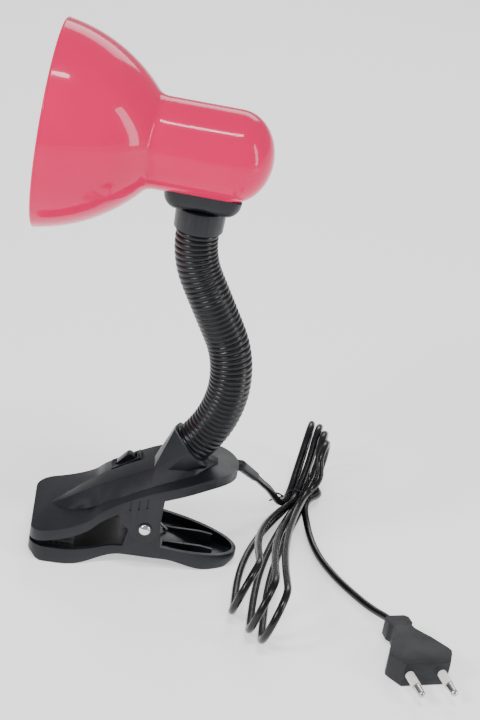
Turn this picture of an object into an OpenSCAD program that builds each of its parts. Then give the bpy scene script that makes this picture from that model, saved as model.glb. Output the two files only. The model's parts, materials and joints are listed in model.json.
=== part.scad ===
// Clip-on reading lamp.  Two sprung plastic jaws grip a shelf edge, a corrugated
// flexible neck stands on the upper jaw, and a bell shade with a screw lampholder
// sits on a saddle at the neck's top.  The flat lead is tied in a hank.
// Millimetres, +Z up.  The origin is the centre of the front foot, on the table.

/* [Jaws] */
// Half width of both jaws at the lip
lip_half_w = 30.5; // [28:0.5:35]
// Half width of the upper jaw over the pivot
waist_half_w = 27.5; // [26.5:0.5:31]
// Radius of the two front corners
corner_r = 9.5; // [5:0.5:12]
// Reach of the lip in front of the foot's centre
lip_reach = 16; // [13:1:20]
// Length of the flat front foot
foot_l = 18; // [12:1:22]
// Distance of the pivot behind the foot's centre
pivot_x = 46; // [42:1:54]
// Height of the pivot above the table
pivot_z = 26.5; // [25:0.5:28]
// Reach of the upper handle behind the pivot
upper_tail = 47; // [42:1:56]
// Reach of the lower handle behind the pivot
lower_tail = 54; // [46:1:62]
// Wall thickness of both jaws
wall = 2.4; // [1.8:0.1:3]
// Depth of the upper jaw's side skirt
skirt_h = 6.3; // [5.5:0.1:8]
// Height of the upper jaw's top at the lip
lip_top = 17; // [16.5:0.5:20]
// Height of the upper jaw's top over the pivot
plate_top = 49; // [47:0.5:54]
// Rise of the upper handle from the pivot to its end
handle_rise = 11.5; // [6:0.5:14]
// Height at which the two grip pads meet
grip_z = 9.5; // [9:0.5:11]
// Thickness of each rubber grip pad
pad_t = 2.5; // [2:0.1:3]
// Length of each grip pad along the jaw
pad_l = 22; // [16:1:24]
// Height of the arch between the front foot and the handle's heel
arch_h = 6; // [4:0.5:7]

/* [Pivot and spring] */
// Radius of the steel pivot pin
pin_r = 2; // [1.5:0.1:2.5]
// Radius of the pin's domed heads
pin_head_r = 3.2; // [2.8:0.1:4]
// Radius of the rounded ears
ear_r = 8; // [7:0.5:9]
// Thickness of each ear
ear_t = 3; // [2.5:0.1:3.5]
// Outer face of the lower jaw's ears, from the middle
lower_ear_y = 21.8; // [20:0.2:22]
// Gap between the lower and upper ears
ear_gap = 0.6; // [0.3:0.1:1]
// Wire radius of the torsion spring
spring_wire_r = 0.8; // [0.6:0.05:1]
// Inner radius of the spring's coil
spring_in_r = 2.8; // [2.6:0.1:3.2]
// Turns in the spring's coil
spring_turns = 6; // [4:1:8]
// Reach of the spring's two legs behind the pivot
spring_reach = 12; // [9:1:16]

/* [Neck] */
// Outer radius of the corrugated sheath
neck_r = 11.6; // [10.8:0.2:12]
// Radius of the steel gooseneck core inside the sheath
core_r = 5.5; // [4.5:0.5:6]
// Radius of the bore through the core for the wires
core_bore_r = 2.6; // [2:0.1:3]
// Angle of the neck above the table where it leaves its socket
base_angle = 48; // [44:1:51]
// Distance of the neck's lower end behind the pivot
neck_base_x = 18.1; // [16.5:0.2:20]
// Height of the neck's lower end
neck_base_z = 68.2; // [67:0.2:71]
// Bend radius of the lower curve
low_bend_r = 61; // [52:1:68]
// Angle turned by the lower curve
low_bend = 71.5; // [66:0.5:76]
// Length of the straight run between the curves
neck_run = 33; // [28:1:48]
// Bend radius of the upper curve
top_bend_r = 54; // [46:1:70]
// Wall of the socket round the neck's lower end
socket_wall = 2.4; // [2.2:0.1:3]
// Depth to which the neck goes into its socket and collar
neck_grip = 6; // [5:0.5:7]
// Length of the neck's straight top under the collar
top_rise = 3; // [1:0.5:6]

/* [Head] */
// Radius of the shade at its rim
rim_r = 55; // [50:1:62]
// Radius of the shade's rear tube
tube_r = 24.5; // [23.5:0.5:27]
// Length of the bell from the rim to the rear tube
bell_l = 55; // [50:1:64]
// Length of the straight rear tube
tube_l = 42; // [40:1:50]
// Depth of the domed end
dome_l = 20.5; // [17:0.5:24]
// Wall of the shade
shade_wall = 1; // [0.8:0.1:1.4]
// Radius of the arc that shapes the bell
bell_arc_r = 86; // [78:1:110]
// Distance of the neck's axis behind the rim
neck_from_rim = 84.5; // [82:0.5:88]
// Height of the shade's axis over the neck's top end
head_lift = 42.8; // [42:0.2:48]
// Turn of the head about the neck's top end
head_turn = 5; // [-20:1:20]
// Radius of the collar under the saddle
collar_r = 13.6; // [13.2:0.2:15]
// Length of the saddle along the shade
saddle_l = 42; // [37:0.2:43]
// Width of the saddle across the shade
saddle_w = 28; // [26:1:31]
// Outer radius of the lampholder's skirt
holder_r = 18; // [17:0.5:19]
// Radius of the bulb's globe
bulb_r = 22.5; // [20:0.5:24]

/* [Switch] */
// Length of the switch bezel along the jaw
switch_l = 18; // [17:0.5:22]
// Width of the switch bezel
switch_w = 10; // [9:0.5:12]
// Distance of the switch from the middle of the jaw
switch_y = 19.5; // [19:0.5:20]
// Distance of the switch in front of the pivot
switch_back = 13.5; // [11:0.5:16]

/* [Lead and plug] */
// Diameter of the mains lead
lead_d = 4.2; // [3.6:0.1:5]
// Length of the tapered strain relief
relief_l = 20; // [20:1:26]
// Length of the plug's body
plug_l = 48; // [44:1:52]
// Width of the plug's body at its face
plug_w = 36; // [34:1:37]
// Thickness of the plug's body
plug_t = 14; // [12:0.5:16]
// Spacing of the two plug pins
plug_pitch = 18.6; // [17.5:0.1:19.2]
// Length of the plug pins
plug_pin_l = 19; // [17:0.5:20]
// Radius of the plug pins
plug_pin_r = 2; // [1.8:0.1:2.4]

/* [Hidden] */
$fn = 64;
eps = 0.01;
fit = 0.05;         // running clearance, radial
seat = 0.3;         // gap between seated pieces on different bodies
far = 200;          // longer than anything it cuts

// ---- curves ----
function ease(t) = (1 - cos(180 * min(1, max(0, t)))) / 2;
function span(a, b, n) = [for (i = [0 : n]) a + (b - a) * i / n];
function arc(c, r, a0, a1, n) = [for (a = span(a0, a1, n)) [c[0] + r * cos(a), c[1] + r * sin(a)]];
function knot(p, i) = p[min(len(p) - 1, max(0, i))];
function blend4(a, b, c, d, t) = 0.5 * (2 * b + (c - a) * t + (2 * a - 5 * b + 4 * c - d) * t * t
    + (3 * b - a - 3 * c + d) * t * t * t);
function smooth(p, n) = [for (i = [0 : len(p) - 2]) for (k = [0 : n - 1])
    blend4(knot(p, i - 1), p[i], p[i + 1], knot(p, i + 2), k / n), p[len(p) - 1]];
function unit(v) = v / norm(v);
function heading(p, i) = unit(knot(p, i + 1) - knot(p, i - 1));

// A closed round tube swept along a path, with up roughly across the path
module tube(path, r, sides, up = [0, 0, 1]) {
    rings = len(path);
    skin = [for (i = [0 : rings - 1])
        let (t = heading(path, i), u = unit(cross(up, t)), v = cross(t, u))
        for (k = [0 : sides - 1]) path[i] + r * (cos(360 * k / sides) * u + sin(360 * k / sides) * v)];
    walls = [for (i = [0 : rings - 2]) for (k = [0 : sides - 1])
        [i * sides + k, (i + 1) * sides + k,
         (i + 1) * sides + (k + 1) % sides, i * sides + (k + 1) % sides]];
    first_end = [for (k = [0 : sides - 1]) k];
    last_end = [for (k = [sides - 1 : -1 : 0]) (rings - 1) * sides + k];
    polyhedron(points = skin, faces = concat(walls, [first_end], [last_end]));
}

// An XZ outline made into a plate of thickness t, centred on y
module across(t, y = 0) {
    translate([0, y + t / 2, 0]) rotate([90, 0, 0]) linear_extrude(t) children();
}

// ---- jaw lines: x runs from the pivot, forwards is negative ----
front_l = pivot_x + lip_reach;
foot_x = -pivot_x;
shoulder_front = -45;
shoulder_back = -13;
pad_x = -front_l + wall + 0.2;
pad_half_w = lip_half_w - wall - 3;
lip_rise = plate_top - lip_top;
crown_knots = [[-front_l, lip_top], [-0.7 * front_l, lip_top + 0.16 * lip_rise],
    [-0.5 * front_l, lip_top + 0.35 * lip_rise], [-0.36 * front_l, lip_top + 0.59 * lip_rise], [0, plate_top],
    [0.55 * upper_tail, plate_top + 0.8 * handle_rise], [0.8 * upper_tail, plate_top + handle_rise],
    [upper_tail, plate_top + handle_rise]];
crown = smooth(crown_knots, 4);
function crown_z(x) = lookup(x, crown);

function belly_z(x) =
    x < foot_x ? 3.5 * ease((foot_x - foot_l / 2 - x) / (lip_reach - foot_l / 2))
    : x < 0 ? arch_h * ease((x - foot_x - foot_l / 2) / 28)
    : x < 0.87 * lower_tail ? arch_h * ease((0.72 * lower_tail - x) / (0.5 * lower_tail))
    : 3 * ease((x - 0.87 * lower_tail) / (0.13 * lower_tail));
rim_drop = 0.5;   // rim of the lower jaw under the grip line
rim_step = 2;     // its step up behind the grip
rim_rise = 2.5;   // its rise from there to the ears
rim_fall = 6.5;   // its fall from the ears to the end of the handle
function lower_rim_z(x) =
    x < shoulder_back ? grip_z - rim_drop + rim_step * ease((x - ear_r + 38) / 17)
    : x < ear_r ? grip_z - rim_drop + rim_step + rim_rise * (x - shoulder_back) / (ear_r - shoulder_back)
    : grip_z - rim_drop + rim_step + rim_rise - rim_fall * (x - ear_r) / (lower_tail - ear_r);
lower_x = concat(span(-front_l, shoulder_back, 20), span(shoulder_back + 1, lower_tail, 22));

// Plan outline of a jaw, drawn in by the given inset
function jaw_half(waist, waist_x, tail, inset) =
    let (hw = lip_half_w - inset, ww = waist - inset, cr = max(1, corner_r - inset),
         x0 = -front_l + inset, tx = tail - inset)
    concat([for (p = arc([x0 + cr, hw - cr], cr, 180, 90, 6)) p],
        [for (t = span(0, 1, 8)) [shoulder_front + (shoulder_back - shoulder_front) * t,
            hw + (ww - hw) * ease(t)]],
        [for (a = span(90, 0, 14)) [waist_x + (tx - waist_x) * cos(a), ww * sin(a)]]);
module jaw_plan(waist, waist_x, tail, inset = 0) {
    half = jaw_half(waist, waist_x, tail, inset);
    back = [for (i = [len(half) - 2 : -1 : 0]) [half[i][0], -half[i][1]]];
    linear_extrude(far, center = true) polygon(concat(half, back));
}
module upper_plan(inset = 0) { jaw_plan(waist_half_w, 5, upper_tail, inset); }
module lower_plan(inset = 0) { jaw_plan(lower_ear_y, 5, lower_tail, inset); }
module at_pivot() { translate([pivot_x, 0, 0]) children(); }
module pivot_bore(r) { translate([0, 0, pivot_z]) rotate([90, 0, 0]) cylinder(r = r, h = far, center = true); }

// ---- upper jaw ----
ear_step = 0.2;     // step from the plate's edge to the upper ear's face
upper_ear_in = lower_ear_y + ear_gap;
upper_ear_out = waist_half_w - ear_step;
upper_ear_t = upper_ear_out - upper_ear_in;
module below_crown(drop, depth) {
    across(far) polygon(concat([for (p = crown) [p[0], p[1] - drop]],
        [for (i = [len(crown) - 1 : -1 : 0]) [crown[i][0], crown[i][1] - depth]]));
}
module upper_ear_outline() {
    polygon(concat([[-18, crown_z(-18) - wall / 2], [-11.5, pivot_z + 1]],
        arc([0, pivot_z], ear_r, 200, 350, 14), [[8.5, crown_z(8.5) - wall / 2]]));
}
module upper_jaw() {
    color("#17181a") at_pivot() difference() {
        union() {
            difference() {
                intersection() { below_crown(0, skirt_h); upper_plan(); }
                intersection() { below_crown(wall, 3 * skirt_h); upper_plan(wall); }
            }
            for (side = [-1, 1]) across(upper_ear_t, side * (upper_ear_in + upper_ear_t / 2))
                upper_ear_outline();
            // boss that carries the upper grip pad
            intersection() {
                below_crown(wall / 2, far);
                upper_plan(wall / 2);
                translate([pad_x, -pad_half_w, grip_z + seat / 2 + pad_t]) cube([pad_l, 2 * pad_half_w, far]);
            }
            // anchor that the lead's strain relief sits in
            intersection() {
                translate([relief_x - 5, relief_y - 5, relief_z - 4.4]) cube([5, 10, 9]);
                upper_plan(wall / 2);
                below_crown(wall / 2, far);
            }
        }
        pivot_bore(pin_r);
        // three grooves in the face of each ear
        for (side = [-1, 1]) for (k = [0 : 2])
            translate([-9.6 + 4.5 * k, side * waist_half_w, 40.2 + 1.4 * k])
                cube([1, 1.8, 6.2], center = true);
        place_switch() cube([switch_l - 5, switch_w - 3, -2 * switch_floor], center = true);
        translate([relief_x - 5 - eps, relief_y, relief_z]) rotate([0, 90, 0])
            cylinder(r = relief_root_r, h = far);
        at_neck_base() translate([0, 0, -neck_grip]) cylinder(r = neck_r + fit, h = far);
        translate([wire_x, 0, 0]) cylinder(r = wire_bore_r, h = far);
        for (x = screw_xs) translate([x, screw_y, 0]) cylinder(r = screw_r + fit, h = far);
    }
}

// ---- lower jaw ----
module lower_ear_outline() {
    polygon(concat([[-11, belly_z(-11) + wall]], arc([0, pivot_z], ear_r, 180, 0, 16),
        [[11, belly_z(11) + wall]]));
}
module lower_side(lift) {
    across(far) polygon(concat([for (x = lower_x) [x, belly_z(x) + lift]],
        [for (i = [len(lower_x) - 1 : -1 : 0]) [lower_x[i], lift > 0 ? far : lower_rim_z(lower_x[i])]]));
}
module lower_jaw() {
    color("#17181a") at_pivot() difference() {
        union() {
            difference() {
                intersection() { lower_side(0); lower_plan(); }
                intersection() { lower_side(wall); lower_plan(wall); }
            }
            for (side = [-1, 1]) across(ear_t, side * (lower_ear_y - ear_t / 2)) lower_ear_outline();
            // solid floor that carries the lower grip pad
            intersection() {
                lower_side(0);
                lower_plan(wall / 2);
                translate([-far / 2, -far / 2, 0])
                    cube([far / 2 + pad_x + pad_l, far, grip_z - seat / 2 - pad_t]);
            }
            // two ribs along the handle's tray
            for (side = [-1, 1]) translate([12, side * 8 - 0.8, 0]) intersection() {
                cube([lower_tail - 26, 1.6, 10]);
                translate([-12, -side * 8 + 0.8, 0]) lower_side(0);
            }
        }
        pivot_bore(pin_r + fit);
    }
}

// ---- grip pads ----
module grip_pad(top) {
    teeth = floor(pad_l / 3) - 1;
    groove = 0.7;
    translate([pad_x, -pad_half_w, 0]) difference() {
        cube([pad_l, 2 * pad_half_w, pad_t]);
        for (i = [1 : teeth]) translate([i * pad_l / (teeth + 1), -eps, top ? pad_t : 0])
            rotate([0, 45, 0]) translate([-groove / 2, 0, -groove / 2]) cube([groove, far, groove]);
    }
}
module upper_grip_pad() {
    color("#26272a") at_pivot() intersection() {
        translate([0, 0, grip_z + seat / 2]) grip_pad(false);
        upper_plan(wall + 3 * fit);
    }
}
module lower_grip_pad() {
    color("#26272a") at_pivot() intersection() {
        translate([0, 0, grip_z - seat / 2 - pad_t]) grip_pad(true);
        lower_plan(wall + 3 * fit);
    }
}

// ---- pivot ----
washer_t = 0.5;
module pivot_pin() {
    head_h = 1.4;
    reach = upper_ear_out + washer_t;
    dome_r = (pin_head_r * pin_head_r + head_h * head_h) / (2 * head_h);
    color("#c9ccd0") at_pivot() translate([0, 0, pivot_z]) rotate([90, 0, 0]) union() {
        cylinder(r = pin_r, h = 2 * reach, center = true);
        for (side = [-1, 1]) intersection() {
            translate([0, 0, side * (reach + head_h - dome_r)]) sphere(r = dome_r);
            translate([0, 0, side * (reach + head_h / 2)]) cylinder(r = pin_head_r, h = head_h, center = true);
        }
    }
}
module pin_washers() {
    color("#9a9da2") at_pivot() translate([0, 0, pivot_z]) rotate([90, 0, 0])
        for (side = [-1, 1]) translate([0, 0, side * (upper_ear_out + washer_t / 2)])
            difference() {
                cylinder(r = pin_head_r + 0.8, h = washer_t, center = true);
                cylinder(r = pin_r, h = far, center = true);
            }
}

// ---- torsion spring: the coil and upper leg, and the lower leg with its own last turn ----
coil_r = spring_in_r + spring_wire_r;
coil_pitch = 2 * spring_wire_r + 0.15;
coil_half = coil_pitch * spring_turns / 2;
upper_leg_a = 60;
lower_leg_a = -35;
function coil_point(a, y) = [coil_r * cos(a), y, pivot_z + coil_r * sin(a)];
module leg_and_coil(end, coil) {
    run = unit(end - coil[0]);
    color("#b8bbc0") at_pivot()
        tube(concat([end, (end + coil[0]) / 2, coil[0] + 2 * run], coil), spring_wire_r, 8, [0, 1, 0]);
}
module clip_spring() {
    start = upper_leg_a + 90;
    coil = [for (a = span(start, start + 360 * (spring_turns - 1), 18 * (spring_turns - 1)))
        coil_point(a, -coil_half + coil_pitch * (a - start) / 360)];
    leg_and_coil([spring_reach, -coil_half, crown_z(spring_reach - 1) - wall - seat - spring_wire_r], coil);
}
module spring_lower_leg() {
    coil = [for (a = span(lower_leg_a - 90, lower_leg_a - 378, 16)) coil_point(a, coil_half)];
    leg_and_coil([spring_reach + 2, coil_half, belly_z(spring_reach + 2) + wall + seat + spring_wire_r], coil);
}

// ---- housing over the wires, with the neck's socket ----
socket_r = neck_r + socket_wall;
nose_x = -0.84 * front_l;
housing_end = neck_base_x + 17;
screw_r = 1.25;
screw_xs = [-30, 2];
screw_y = -8;
wire_x = 4;         // where the wires from the neck turn down through the plate
wire_bore_r = core_bore_r + 0.4;
elbow_s = (neck_base_x - wire_x) / cos(base_angle);
elbow_z = neck_base_z - elbow_s * sin(base_angle);
room_front = -0.6 * front_l;
room_end = -3;
ridge_rows = [[nose_x, -1, 1, 0.5], [-0.72 * front_l, -8, 6, 4.5], [-0.6 * front_l, -13, 9, 8],
    [-0.42 * front_l, -18, 12, 8.5], [-0.22 * front_l, -20, 12.5, 7.5], [0, -19.5, 12.5, 7],
    [neck_base_x - 6, -17.5, 13, 8], [neck_base_x + 5, -14, 11.5, 8.5], [housing_end, -4, 4, 0.6]];
module ridge(inset) {
    sunk = 4;
    rows = [for (r = ridge_rows) let (z = crown_z(r[0]) + r[3] - inset, lo = r[1] + inset, hi = r[2] - inset,
            x = r[0] + (r[0] == nose_x ? 3 * inset : r[0] == housing_end ? -inset : 0), w = (hi - lo) / 2)
        [[x, lo, crown_z(x) - sunk], [x, lo, crown_z(x)], [x, lo + w * 0.62, z], [x, hi - w * 0.55, z],
         [x, hi, crown_z(x)], [x, hi, crown_z(x) - sunk]]];
    n = 6;
    last = len(rows) - 1;
    polyhedron(points = [for (r = rows) for (p = r) p],
        faces = concat([for (i = [0 : last - 1]) for (k = [0 : n - 1])
            [i * n + k, i * n + (k + 1) % n, (i + 1) * n + (k + 1) % n, (i + 1) * n + k]],
            [[for (k = [n - 1 : -1 : 0]) k]], [[for (k = [0 : n - 1]) last * n + k]]));
}
module at_neck_base() {
    translate([neck_base_x, 0, neck_base_z]) rotate([0, 90 - base_angle, 0]) children();
}
// Hood that rises from the ridge and wraps the neck's lower end
module hood() {
    rim_s = 2;
    hull() {
        rotate([90, 0, 90]) linear_extrude(1)
            polygon([[-10, crown_z(0) - 3], [-9, crown_z(0) + 6], [3.5, crown_z(0) + 6],
                [10, crown_z(0) - 3]]);
        at_neck_base() translate([0, 0, rim_s - 1]) linear_extrude(1) scale(socket_r)
            polygon([[-1.04, -0.4], [-1, 0.02], [-0.79, 0.58], [-0.36, 0.92], [0.57, 1],
                [0.93, 0.64], [0.93, -0.64], [0.57, -1], [-0.18, -1.04]]);
    }
}
module neck_housing() {
    color("#1a1b1e") at_pivot() difference() {
        union() {
            ridge(0);
            hood();
        }
        below_crown(0, far);
        // room for the wires ahead of the socket
        difference() {
            intersection() {
                ridge(2);
                translate([room_front, -far / 2, 0]) cube([room_end - room_front, far, far]);
            }
            translate([screw_xs[0], screw_y, 0]) cylinder(r = 3.2, h = far);
        }
        at_neck_base() translate([0, 0, -neck_grip]) cylinder(r = neck_r + fit, h = far);
        at_neck_base() translate([0, 0, -elbow_s - 1]) cylinder(r = core_bore_r, h = elbow_s + 1);
        translate([wire_x, 0, 0]) cylinder(r = wire_bore_r, h = elbow_z + 1.5);
        for (x = screw_xs) translate([x, screw_y, 0]) cylinder(r = screw_r, h = crown_z(x) + 4.5);
    }
}
module housing_screws() {
    color("#a9acb1") at_pivot() for (x = screw_xs) {
        under = crown_z(x - 2.4) - wall - fit;
        translate([x, screw_y, under]) cylinder(r = screw_r, h = crown_z(x) + 4 - under);
        translate([x, screw_y, under - 1.4]) cylinder(r = 2.4, h = 1.4 + eps);
    }
}

// ---- switch ----
switch_z = crown_z(-switch_back);
switch_tilt = atan2(crown_z(-switch_back + 5) - crown_z(-switch_back - 5), 10);
module place_switch() {
    translate([-switch_back, switch_y, switch_z]) rotate([0, -switch_tilt, 0]) children();
}
rocker_l = switch_l - 6;
rocker_w = switch_w - 5;
rocker_axis_z = 1;
bezel_h = 1.8;
switch_floor = -wall - 4.8;
module switch_bezel() {
    color("#1d1e21") at_pivot() difference() {
        place_switch() translate([0, 0, bezel_h / 2 - 0.5])
            cube([switch_l, switch_w, bezel_h + 1], center = true);
        place_switch() cube([rocker_l + 1, rocker_w + 0.6, far], center = true);
        below_crown(0, far);
    }
    // cross pin that the rocker turns on
    color("#1d1e21") at_pivot() place_switch() translate([0, 0, rocker_axis_z]) rotate([90, 0, 0])
        cylinder(r = 0.7, h = rocker_w + 1.6, center = true);
}
module switch_rocker() {
    tip = 5.2;
    color("#222327") at_pivot() place_switch() difference() {
        across(rocker_w) polygon([[-rocker_l / 2, 0.4], [-rocker_l / 2 + 0.6, 2.6], [2.5, tip],
            [4.2, tip - 0.6], [rocker_l / 2 - 0.4, 1.6], [rocker_l / 2 - 0.9, 0.6], [0, -1.6]]);
        translate([0, 0, rocker_axis_z]) rotate([90, 0, 0]) cylinder(r = 0.8, h = far, center = true);
    }
}
module switch_body() {
    color("#111214") at_pivot() place_switch() difference() {
        translate([-(switch_l - 5) / 2 + fit, -(switch_w - 3) / 2 + fit, switch_floor])
            cube([switch_l - 5 - 2 * fit, switch_w - 3 - 2 * fit, -switch_floor - 0.6]);
        translate([0, 0, -1]) cube([rocker_l - 0.4, rocker_w + 0.6, 2 * wall + 3], center = true);
    }
}
terminal_xs = [-5.5, -0.5];
terminal_l = 3;
terminal_half_w = 2;
module switch_terminals() {
    color("#c8a24a") at_pivot() place_switch() for (x = terminal_xs)
        translate([x - 0.4, -terminal_half_w, switch_floor - terminal_l])
            cube([0.8, 2 * terminal_half_w, terminal_l]);
}

// ---- wires under the upper jaw: mains to the switch, and a pair from the neck ----
wire_r = 0.9;
wire_apart = 1.1;
function in_switch(x, y, z) = [-switch_back + x * cos(switch_tilt) - z * sin(switch_tilt), y,
    switch_z + x * sin(switch_tilt) + z * cos(switch_tilt)];
function on_neck(s, y) = [neck_base_x + s * cos(base_angle), y, neck_base_z + s * sin(base_angle)];
function under_plate(x, y, drop) = [x, y, crown_z(x) - wall - drop];
module clip_wires() {
    wire_drop = 7;
    tab_y = switch_y - terminal_half_w - 4 * fit;
    tab_z = switch_floor - terminal_l / 2;
    color("#7a4a2c") at_pivot() for (k = [0, 1]) {
        side = (2 * k - 1) * wire_apart;
        tab_x = terminal_xs[k];
        tube(smooth([[relief_x - 5.5, relief_y + side, relief_z], under_plate(30, 8 + side, wire_drop),
            under_plate(12, 10 + side, wire_drop), under_plate(0, 10 + side, wire_drop),
            in_switch(tab_x, tab_y - 9 + 3 * k, tab_z), in_switch(tab_x, tab_y, tab_z)], 4), wire_r, 8);
        tube(smooth([on_neck(-neck_grip - 1, side), on_neck(-neck_grip - 10, side),
            [wire_x, side, elbow_z - 2],
            under_plate(wire_x, side, 4)], 4), wire_r, 8, [0, 1, 0]);
    }
}

// ---- strain relief ----
relief_x = upper_tail - 2.2;
relief_y = 6;
relief_z = crown_z(upper_tail) - 4;
relief_root_r = 3.2;
relief_turn = 50;
relief_dip = 38;
relief_tip_r = lead_d / 2 + 0.6;
relief_elbow = [relief_x + 4, relief_y, relief_z];
relief_dir = [cos(relief_dip) * cos(relief_turn), cos(relief_dip) * sin(relief_turn), -sin(relief_dip)];
module cord_relief() {
    color("#141518") at_pivot() difference() {
        union() {
            translate([relief_x - 5, relief_y, relief_z]) rotate([0, 90, 0])
                cylinder(r = relief_root_r, h = relief_elbow[0] - relief_x + 5);
            translate(relief_elbow) sphere(r = relief_root_r);
            translate(relief_elbow) rotate([0, 90 + relief_dip, relief_turn])
                cylinder(r1 = relief_root_r, r2 = relief_tip_r, h = relief_l);
        }
        translate(relief_elbow + (relief_l - 4) * relief_dir) rotate([0, 90 + relief_dip, relief_turn])
            cylinder(r = lead_d / 2, h = 5);
    }
}

// ---- neck: two curves and a straight run, parted at three bending points ----
top_bend = base_angle + low_bend - 90;
ball_gap = 3.2;
ball_r = neck_r - 0.5;
core_fit = 0.15;
low_c = [neck_base_x - low_bend_r * sin(base_angle), neck_base_z + low_bend_r * cos(base_angle)];
function low_point(turn) = low_c + low_bend_r * [sin(base_angle + turn), -cos(base_angle + turn)];
run_a = base_angle + low_bend;
run_start = low_point(low_bend);
run_end = run_start + neck_run * [cos(run_a), sin(run_a)];
top_c = run_end + top_bend_r * [sin(run_a), -cos(run_a)];
function top_point(turn) = top_c - top_bend_r * [sin(run_a - turn), -cos(run_a - turn)];
neck_crest = top_point(top_bend);
neck_top = neck_crest + [0, top_rise];
joint_low = low_point(low_bend / 2);
joint_mid = (run_start + run_end) / 2;
joint_top = top_point(top_bend / 2);
gap_low = 180 / PI * ball_gap / low_bend_r;
gap_top = 180 / PI * ball_gap / top_bend_r;

// A ring section bent through an arc in the XZ plane
module bent(c, bend_r, from, to, r, bore) {
    translate([c[0], 0, c[1]]) rotate([90, 0, 0]) rotate([0, 0, from]) rotate_extrude(angle = to - from)
        translate([bend_r, 0]) difference() {
            circle(r = r, $fn = 48);
            circle(r = bore, $fn = 48);
        }
}
module low_bent(t0, t1, r, bore) {
    bent(low_c, low_bend_r, base_angle - 90 + t0, base_angle - 90 + t1, r, bore);
}
module top_bent(t0, t1, r, bore) {
    bent(top_c, top_bend_r, run_a + 90 - t1, run_a + 90 - t0, r, bore);
}
module straight(p, a, s0, s1, r, bore) {
    translate([p[0], 0, p[1]]) rotate([0, 90 - a, 0]) difference() {
        translate([0, 0, s0]) cylinder(r = r, h = s1 - s0);
        translate([0, 0, s0 - 1]) cylinder(r = bore, h = s1 - s0 + 2);
    }
}
module ball_end(p, a, bore) {
    translate([p[0], 0, p[1]]) rotate([0, 90 - a, 0]) difference() {
        sphere(r = ball_r);
        translate([0, 0, -far]) cylinder(r = bore, h = far);
        translate([0, 0, -far - ball_gap - 1]) cylinder(r = far, h = far);
    }
}
module cup(p) { translate([p[0], 0, p[1]]) sphere(r = ball_r + seat); }
sheath_bore = core_r + core_fit;
half_run = neck_run / 2;
lap = 0.1;          // overlap of a straight run with the bend it joins
shy = 0.05;         // step where a straight length meets its bend
low_mid_a = base_angle + low_bend / 2;
top_mid_a = run_a - top_bend / 2;
module neck_sheath_base() {
    color("#141518") at_pivot() union() {
        straight([neck_base_x, neck_base_z], base_angle, -neck_grip, 0, neck_r, sheath_bore);
        low_bent(0, low_bend / 2 - gap_low, neck_r, sheath_bore);
        ball_end(joint_low, low_mid_a, sheath_bore);
    }
}
module neck_sheath_low() {
    color("#141518") at_pivot() difference() {
        union() {
            low_bent(low_bend / 2 + gap_low, low_bend, neck_r, sheath_bore);
            straight(joint_mid, run_a, -half_run - lap, -ball_gap, neck_r, sheath_bore);
            ball_end(joint_mid, run_a, sheath_bore);
        }
        cup(joint_low);
    }
}
module neck_sheath_high() {
    color("#141518") at_pivot() difference() {
        union() {
            straight(joint_mid, run_a, ball_gap, half_run + lap, neck_r - shy, sheath_bore + shy);
            top_bent(0, top_bend / 2 - gap_top, neck_r, sheath_bore);
            ball_end(joint_top, top_mid_a, sheath_bore);
        }
        cup(joint_mid);
    }
}
module neck_sheath_top() {
    color("#141518") at_pivot() difference() {
        union() {
            top_bent(top_bend / 2 + gap_top, top_bend, neck_r, sheath_bore);
            straight(neck_crest, 90, 0, top_rise + neck_grip, neck_r - shy, sheath_bore + shy);
        }
        cup(joint_top);
    }
}
module neck_core_base() {
    color("#8d9095") at_pivot() union() {
        straight([neck_base_x, neck_base_z], base_angle, -neck_grip, 0, core_r, core_bore_r);
        low_bent(0, low_bend / 2 - gap_low, core_r, core_bore_r);
    }
}
module neck_core_low() {
    color("#8d9095") at_pivot() difference() {
        union() {
            low_bent(low_bend / 2 + gap_low, low_bend, core_r, core_bore_r);
            straight(joint_mid, run_a, -half_run - lap, -ball_gap, core_r - shy, core_bore_r + shy);
        }
        cup(joint_low);
    }
}
module neck_core_high() {
    color("#8d9095") at_pivot() difference() {
        union() {
            straight(joint_mid, run_a, ball_gap, half_run + lap, core_r - shy, core_bore_r + shy);
            top_bent(0, top_bend / 2 - gap_top, core_r, core_bore_r);
        }
        cup(joint_mid);
    }
}
module neck_core_top() {
    color("#8d9095") at_pivot() difference() {
        union() {
            top_bent(top_bend / 2 + gap_top, top_bend, core_r, core_bore_r);
            straight(neck_crest, 90, 0, top_rise + neck_grip, core_r - shy, core_bore_r + shy);
        }
        cup(joint_top);
    }
}

// ---- head: x runs from the rim to the dome, z from the shade's axis ----
axis_z = neck_top[1] + head_lift;
head_l = bell_l + tube_l + dome_l;
module at_head() {
    at_pivot() translate([neck_top[0], 0, axis_z]) rotate([0, 0, -head_turn])
        translate([-neck_from_rim, 0, 0]) children();
}
module turned(points) {
    rotate([0, 90, 0]) rotate_extrude($fn = 96) polygon([for (p = points) [p[1], p[0]]]);
}
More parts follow.
